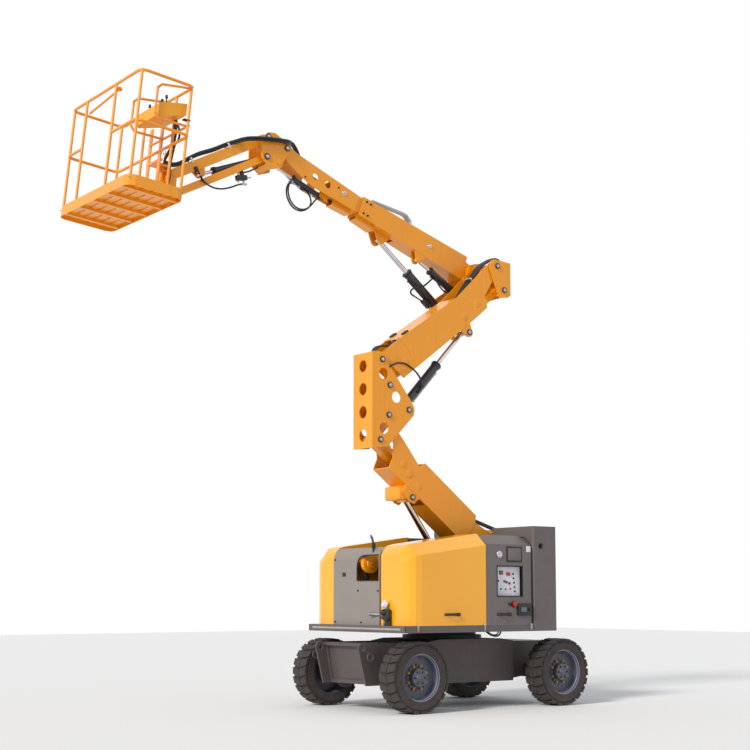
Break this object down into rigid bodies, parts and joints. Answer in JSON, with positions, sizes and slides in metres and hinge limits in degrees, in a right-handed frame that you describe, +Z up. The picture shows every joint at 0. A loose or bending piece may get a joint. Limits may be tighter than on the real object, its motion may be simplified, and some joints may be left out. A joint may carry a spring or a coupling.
{
  "type": "articulating boom lift",
  "caption": "Self-propelled articulating boom lift with two-stage riser, telescopic main boom, jib and railed platform on a slewing turret over a wheeled chassis.",
  "frame": {"origin": "on the floor under the middle of the whole machine as posed in the picture", "axes": "+X towards the platform, +Y to the machine's left, +Z up"},
  "size_m": [5.4364, 1.988, 6.1328],
  "materials": {
    "barrel_paint": "satin",
    "chassis_grey": "satin",
    "control_yellow": "satin",
    "counterweight_grey": "satin",
    "dark_iron": "rough",
    "front_grey": "satin",
    "grey_cover": "satin",
    "guard_grey": "satin",
    "orange_paint": "gloss",
    "panel_white": "satin",
    "rail_orange": "gloss",
    "rim_paint": "satin",
    "rod_chrome": "polished",
    "turntable_grey": "satin",
    "tyre_rubber": "matt",
    "yellow_cover": "gloss"
  },
  "bodies": {
    "chassis": {"chassis_frame": "chassis_grey", "front_axle": "chassis_grey", "rear_axle": "chassis_grey", "slew_ring": "dark_iron"},
    "wheel_front_left": {"tyre_front_left": "tyre_rubber", "rim_front_left": "rim_paint"},
    "wheel_front_right": {"tyre_front_right": "tyre_rubber", "rim_front_right": "rim_paint"},
    "wheel_rear_left": {"tyre_rear_left": "tyre_rubber", "rim_rear_left": "rim_paint"},
    "wheel_rear_right": {"tyre_rear_right": "tyre_rubber", "rim_rear_right": "rim_paint"},
    "steer_knuckle_left": {"knuckle_left": "chassis_grey"},
    "steer_knuckle_right": {"knuckle_right": "chassis_grey"},
    "steer_tie_rod": {"tie_rod": "dark_iron"},
    "turret": {"turret_base": "turntable_grey", "counterweight": "counterweight_grey", "riser_tower": "turntable_grey", "engine_block": "dark_iron", "ground_controls": "panel_white", "front_cover": "front_grey"},
    "hood_left": {"hood_left": "yellow_cover"},
    "hood_right": {"hood_right": "yellow_cover"},
    "rear_cover_left": {"rear_cover_left": "grey_cover"},
    "rear_cover_right": {"rear_cover_right": "grey_cover"},
    "lower_arm": {"lower_arm": "orange_paint"},
    "lower_link": {"lower_link": "orange_paint"},
    "mid_pivot": {"mid_pivot": "orange_paint"},
    "lower_riser_barrel": {"lower_riser_barrel": "barrel_paint"},
    "lower_riser_rod": {"lower_riser_rod": "rod_chrome"},
    "upper_arm": {"upper_arm": "orange_paint"},
    "upper_link": {"upper_link": "orange_paint"},
    "upper_pivot": {"upper_pivot": "orange_paint"},
    "upper_riser_barrel": {"upper_riser_barrel": "barrel_paint"},
    "upper_riser_rod": {"upper_riser_rod": "rod_chrome"},
    "boom_outer": {"boom_outer": "orange_paint", "boom_chain_guard": "guard_grey"},
    "boom_inner": {"boom_inner": "orange_paint"},
    "boom_lift_barrel": {"boom_lift_barrel": "barrel_paint"},
    "boom_lift_rod": {"boom_lift_rod": "rod_chrome"},
    "levelling_master_barrel": {"levelling_master_barrel": "barrel_paint"},
    "levelling_master_rod": {"levelling_master_rod": "rod_chrome"},
    "levelling_slave_barrel": {"levelling_slave_barrel": "barrel_paint"},
    "levelling_slave_rod": {"levelling_slave_rod": "rod_chrome"},
    "jib_base": {"jib_base": "orange_paint"},
    "jib_upper_arm": {"jib_upper_arm": "orange_paint"},
    "jib_lower_arm": {"jib_lower_arm": "orange_paint"},
    "jib_barrel": {"jib_barrel": "barrel_paint"},
    "jib_rod": {"jib_rod": "rod_chrome"},
    "jib_head": {"jib_head": "orange_paint"},
    "platform": {"platform": "rail_orange", "platform_controls": "control_yellow"},
    "platform_drop_bar": {"platform_drop_bar": "rail_orange"}
  },
  "joints": [
    {"name": "wheel_spin_front_left", "type": "hinge", "parent": "chassis", "child": "wheel_front_left", "pos_m": [-0.39203, 0.094, 0.3595], "axis": [0, 1, 0], "continuous": true},
    {"name": "wheel_spin_front_right", "type": "hinge", "parent": "chassis", "child": "wheel_front_right", "pos_m": [-0.39203, 0.094, 0.3595], "axis": [0, 1, 0], "continuous": true},
    {"name": "steer_left", "type": "hinge", "parent": "chassis", "child": "steer_knuckle_left", "pos_m": [-2.36203, 0.694, 0.3595], "axis": [0, 0, 1], "range_deg": [-32, 32]},
    {"name": "steer_right", "type": "hinge", "parent": "chassis", "child": "steer_knuckle_right", "pos_m": [-2.36203, -0.506, 0.3595], "axis": [0, 0, 1], "range_deg": [-32, 32]},
    {"name": "steer_tie_rod_slide", "type": "slide", "parent": "chassis", "child": "steer_tie_rod", "axis": [0, -1, 0], "range_m": [-0.08667, 0.08667]},
    {"name": "wheel_spin_rear_left", "type": "hinge", "parent": "steer_knuckle_left", "child": "wheel_rear_left", "pos_m": [-2.36203, 0.094, 0.3595], "axis": [0, 1, 0], "continuous": true},
    {"name": "wheel_spin_rear_right", "type": "hinge", "parent": "steer_knuckle_right", "child": "wheel_rear_right", "pos_m": [-2.36203, 0.094, 0.3595], "axis": [0, 1, 0], "continuous": true},
    {"name": "turret_slew", "type": "hinge", "parent": "chassis", "child": "turret", "pos_m": [-1.38703, 0.094, 0.7595], "axis": [0, 0, 1], "range_deg": [-177.5, 177.5]},
    {"name": "hood_open_left", "type": "hinge", "parent": "turret", "child": "hood_left", "pos_m": [-0.88703, 0.466, 1.6995], "axis": [1, 0, 0], "range_deg": [0, 55]},
    {"name": "rear_cover_open_left", "type": "hinge", "parent": "turret", "child": "rear_cover_left", "pos_m": [-1.58703, 0.466, 1.6995], "axis": [1, 0, 0], "range_deg": [0, 55]},
    {"name": "hood_open_right", "type": "hinge", "parent": "turret", "child": "hood_right", "pos_m": [-0.88703, -0.397, 1.6995], "axis": [-1, 0, 0], "range_deg": [0, 55]},
    {"name": "rear_cover_open_right", "type": "hinge", "parent": "turret", "child": "rear_cover_right", "pos_m": [-1.58703, -0.397, 1.6995], "axis": [-1, 0, 0], "range_deg": [0, 55]},
    {"name": "lower_lift", "type": "hinge", "parent": "turret", "child": "lower_arm", "pos_m": [-2.21113, 0.094, 1.8287], "axis": [0, -1, 0], "range_deg": [-31.6, 23]},
    {"name": "lower_link_turn", "type": "hinge", "parent": "turret", "child": "lower_link", "pos_m": [-2.09913, 0.094, 1.5587], "axis": [0, -1, 0], "range_deg": [-31.7, 23.1]},
    {"name": "mid_pivot_level", "type": "hinge", "parent": "lower_arm", "child": "mid_pivot", "pos_m": [-0.53399, 0.094, 3.09251], "axis": [0, -1, 0], "range_deg": [-23.1, 31.7]},
    {"name": "lower_riser_pivot", "type": "hinge", "parent": "turret", "child": "lower_riser_barrel", "pos_m": [-1.81703, 0.094, 0.9495], "axis": [0, -1, 0], "range_deg": [-22.84, 16.64]},
    {"name": "lower_riser_stroke", "type": "slide", "parent": "lower_riser_barrel", "child": "lower_riser_rod", "axis": [0.5943, 0, 0.8042], "range_m": [-0.48052, 0.34977]},
    {"name": "upper_lift", "type": "hinge", "parent": "mid_pivot", "child": "upper_arm", "pos_m": [-0.44799, 0.094, 3.68251], "axis": [0, 1, 0], "range_deg": [-34, 23]},
    {"name": "upper_link_turn", "type": "hinge", "parent": "mid_pivot", "child": "upper_link", "pos_m": [-0.54799, 0.094, 3.41451], "axis": [0, 1, 0], "range_deg": [-34.1, 23.1]},
    {"name": "upper_pivot_level", "type": "hinge", "parent": "upper_arm", "child": "upper_pivot", "pos_m": [-2.08999, 0.094, 4.91984], "axis": [0, 1, 0], "range_deg": [-23.1, 34.1]},
    {"name": "upper_riser_pivot", "type": "hinge", "parent": "mid_pivot", "child": "upper_riser_barrel", "pos_m": [-0.80499, 0.094, 3.16551], "axis": [0, -1, 0], "range_deg": [-21.82, 32.23]},
    {"name": "upper_riser_stroke", "type": "slide", "parent": "upper_riser_barrel", "child": "upper_riser_rod", "axis": [-0.6815, 0, 0.7318], "range_m": [-0.37461, 0.25345]},
    {"name": "boom_lift", "type": "hinge", "parent": "upper_pivot", "child": "boom_outer", "pos_m": [-2.01599, -0.226, 4.91054], "axis": [0, -1, 0], "range_deg": [-18.7, 51.3]},
    {"name": "boom_lift_pivot", "type": "hinge", "parent": "upper_pivot", "child": "boom_lift_barrel", "pos_m": [-1.80699, -0.27, 4.33454], "axis": [0, -1, 0], "range_deg": [-14.82, 40.56]},
    {"name": "boom_lift_stroke", "type": "slide", "parent": "boom_lift_barrel", "child": "boom_lift_rod", "axis": [0.7863, 0, 0.6179], "range_m": [-0.16487, 0.4521]},
    {"name": "levelling_master_pivot", "type": "hinge", "parent": "upper_pivot", "child": "levelling_master_barrel", "pos_m": [-1.90699, -0.16, 4.59954], "axis": [0, -1, 0], "range_deg": [-15.99, 43.78]},
    {"name": "levelling_master_stroke", "type": "slide", "parent": "levelling_master_barrel", "child": "levelling_master_rod", "axis": [0.88, 0, 0.475], "range_m": [-0.09427, 0.25844]},
    {"name": "boom_extend", "type": "slide", "parent": "boom_outer", "child": "boom_inner", "axis": [0.9472, 0, 0.3206], "range_m": [-0.04, 1.1]},
    {"name": "jib_base_level", "type": "hinge", "parent": "boom_inner", "child": "jib_base", "pos_m": [0.54095, -0.226, 5.89004], "axis": [0, -1, 0], "range_deg": [-51.4, 18.8]},
    {"name": "levelling_slave_pivot", "type": "hinge", "parent": "boom_inner", "child": "levelling_slave_barrel", "pos_m": [0.01224, -0.226, 5.47459], "axis": [0, -1, 0], "range_deg": [-0.67, 1.74]},
    {"name": "levelling_slave_stroke", "type": "slide", "parent": "levelling_slave_barrel", "child": "levelling_slave_rod", "axis": [0.9325, 0, 0.3612], "range_m": [-0.16683, 0.06088]},
    {"name": "jib_lift", "type": "hinge", "parent": "jib_base", "child": "jib_upper_arm", "pos_m": [0.77695, -0.226, 5.97404], "axis": [0, 1, 0], "range_deg": [-80, 8]},
    {"name": "jib_lower_turn", "type": "hinge", "parent": "jib_base", "child": "jib_lower_arm", "pos_m": [0.79195, -0.226, 5.75504], "axis": [0, 1, 0], "range_deg": [-80.1, 8.1]},
    {"name": "jib_head_level", "type": "hinge", "parent": "jib_upper_arm", "child": "jib_head", "pos_m": [1.87638, -0.226, 5.38453], "axis": [0, 1, 0], "range_deg": [-8.1, 80.1]},
    {"name": "jib_pivot", "type": "hinge", "parent": "jib_base", "child": "jib_barrel", "pos_m": [0.79195, -0.226, 5.75504], "axis": [0, -1, 0], "range_deg": [-7.73, 76.89]},
    {"name": "jib_stroke", "type": "slide", "parent": "jib_barrel", "child": "jib_rod", "axis": [0.928, 0, -0.3725], "range_m": [-0.03018, 0.30094]},
    {"name": "platform_rotate", "type": "hinge", "parent": "jib_head", "child": "platform", "pos_m": [1.97712, -0.226, 5.20863], "axis": [-0.1028, 0, 0.9947], "range_deg": [-80, 80]},
    {"name": "drop_bar_lift", "type": "hinge", "parent": "platform", "child": "platform_drop_bar", "pos_m": [2.55119, 0.008, 6.07423], "axis": [-0.9947, 0, -0.1028], "range_deg": [0, 75]}
  ],
  "couplings": [
    {"joint": "steer_right", "follows": "steer_left", "ratio": 1},
    {"joint": "steer_tie_rod_slide", "follows": "steer_left", "m_per_rad": 0.155},
    {"joint": "lower_link_turn", "follows": "lower_lift", "ratio": 1},
    {"joint": "mid_pivot_level", "follows": "lower_lift", "ratio": -1},
    {"joint": "lower_riser_pivot", "follows": "lower_lift", "ratio": 0.7212},
    {"joint": "lower_riser_stroke", "follows": "lower_lift", "m_per_rad": 0.87107},
    {"joint": "upper_link_turn", "follows": "upper_lift", "ratio": 1},
    {"joint": "upper_pivot_level", "follows": "upper_lift", "ratio": -1},
    {"joint": "upper_riser_pivot", "follows": "upper_lift", "ratio": -0.94645},
    {"joint": "upper_riser_stroke", "follows": "upper_lift", "m_per_rad": 0.63111},
    {"joint": "boom_lift_pivot", "follows": "boom_lift", "ratio": 0.78965},
    {"joint": "boom_lift_stroke", "follows": "boom_lift", "m_per_rad": 0.50483},
    {"joint": "levelling_master_pivot", "follows": "boom_lift", "ratio": 0.85234},
    {"joint": "levelling_master_stroke", "follows": "boom_lift", "m_per_rad": 0.28854},
    {"joint": "jib_base_level", "follows": "boom_lift", "ratio": -1},
    {"joint": "levelling_slave_pivot", "follows": "boom_lift", "ratio": 0.032885},
    {"joint": "levelling_slave_stroke", "follows": "boom_lift", "m_per_rad": -0.18621},
    {"joint": "jib_lower_turn", "follows": "jib_lift", "ratio": 1},
    {"joint": "jib_head_level", "follows": "jib_lift", "ratio": -1},
    {"joint": "jib_pivot", "follows": "jib_lift", "ratio": -0.96044},
    {"joint": "jib_stroke", "follows": "jib_lift", "m_per_rad": -0.21546}
  ]
}
